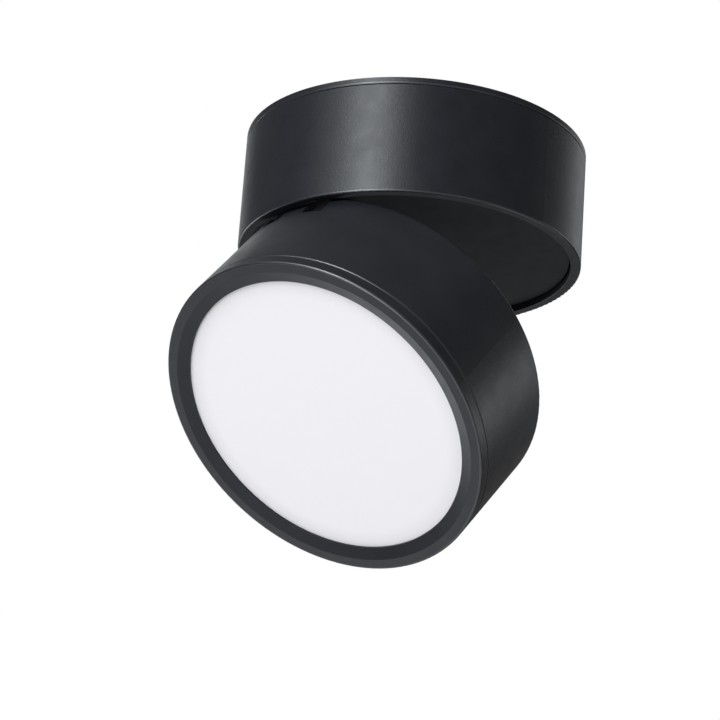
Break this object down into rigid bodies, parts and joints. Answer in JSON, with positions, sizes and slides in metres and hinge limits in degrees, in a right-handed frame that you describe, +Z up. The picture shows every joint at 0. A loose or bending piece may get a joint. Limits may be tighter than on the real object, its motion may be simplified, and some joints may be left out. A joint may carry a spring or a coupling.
{
  "type": "surface mounted ceiling spotlight",
  "caption": "Round ceiling spotlight: a drum base holds a turntable with an edge hinge, and a drum head with an opal front swivels and tilts from it.",
  "frame": {"origin": "centre of the face that lies on the ceiling, between the two screw slots", "axes": "+Z up into the ceiling, -Y towards the edge with the hinge, where the head points when it is tilted up, X along the line of the screw slots and the hinge axis"},
  "size_m": [0.1, 0.1194, 0.1261],
  "materials": {
    "coated_housing": "satin black powder coat on turned aluminium",
    "coated_plate": "satin black powder coat on steel",
    "coated_turntable": "matt black powder coat on aluminium",
    "coated_bezel": "satin black powder coat on turned aluminium",
    "black_steel": "black oxide on steel",
    "zinc_steel": "bright zinc plate on steel",
    "spring_steel": "rolled spring steel",
    "bare_aluminium": "as extruded and machined",
    "brass_screws": "nickel-free turned brass",
    "opal_diffuser": "opal acrylic, fine matt",
    "white_reflector": "moulded white polycarbonate",
    "white_board": "white solder mask",
    "phosphor": "yellow phosphor in clear resin",
    "acetal": "natural acetal",
    "black_rubber": "moulded rubber",
    "clear_silicone": "moulded silicone",
    "terminal_plastic": "moulded polyamide",
    "driver_plastic": "moulded polycarbonate",
    "circuit_board": "green solder mask",
    "transformer_tape": "yellow polyester tape on ferrite",
    "capacitor_sleeve": "dark heat-shrunk sleeve",
    "lead_white": "silicone sleeve",
    "lead_mains": "extruded insulation",
    "lead_earth": "green and yellow insulation"
  },
  "bodies": {
    "base": {"ceiling_plate": "coated_plate", "cable_grommet": "black_rubber", "base_shell": "coated_housing", "lock_screw": "black_steel", "terminal_block": "terminal_plastic", "terminal_screws": "brass_screws", "base_screws": "zinc_steel", "driver_case": "driver_plastic", "driver_lid": "driver_plastic", "driver_board": "circuit_board", "driver_transformer": "transformer_tape", "driver_capacitors": "capacitor_sleeve", "mains_leads": "lead_mains", "earth_lead": "lead_earth", "earth_screw": "zinc_steel", "lead_in_base": "lead_white"},
    "swivel": {"turntable": "coated_turntable", "swivel_stem": "zinc_steel", "glide_ring": "acetal", "friction_washer": "acetal", "stop_plate": "zinc_steel", "disc_spring": "spring_steel", "stem_nut": "zinc_steel", "hinge_bracket": "coated_turntable", "bracket_screws": "black_steel", "hinge_pins": "black_steel", "lead_in_swivel": "lead_white"},
    "head": {"head_shell": "coated_housing", "hinge_washers": "spring_steel", "heat_sink": "bare_aluminium", "heat_sink_screws": "zinc_steel", "led_board": "white_board", "led_board_screws": "zinc_steel", "led_chips": "phosphor", "lead_in_head": "lead_white", "reflector": "white_reflector", "diffuser_gasket": "clear_silicone", "diffuser": "opal_diffuser", "bezel_ring": "coated_bezel"}
  },
  "joints": [
    {"name": "swivel_turn", "type": "hinge", "parent": "base", "child": "swivel", "pos_m": [0, 0, -0.03], "axis": [0, 0, 1], "range_deg": [-168, 168]},
    {"name": "head_tilt", "type": "hinge", "parent": "swivel", "child": "head", "pos_m": [0, -0.04615, -0.03976], "axis": [-1, 0, 0], "range_deg": [-40.5, 49.5]}
  ]
}
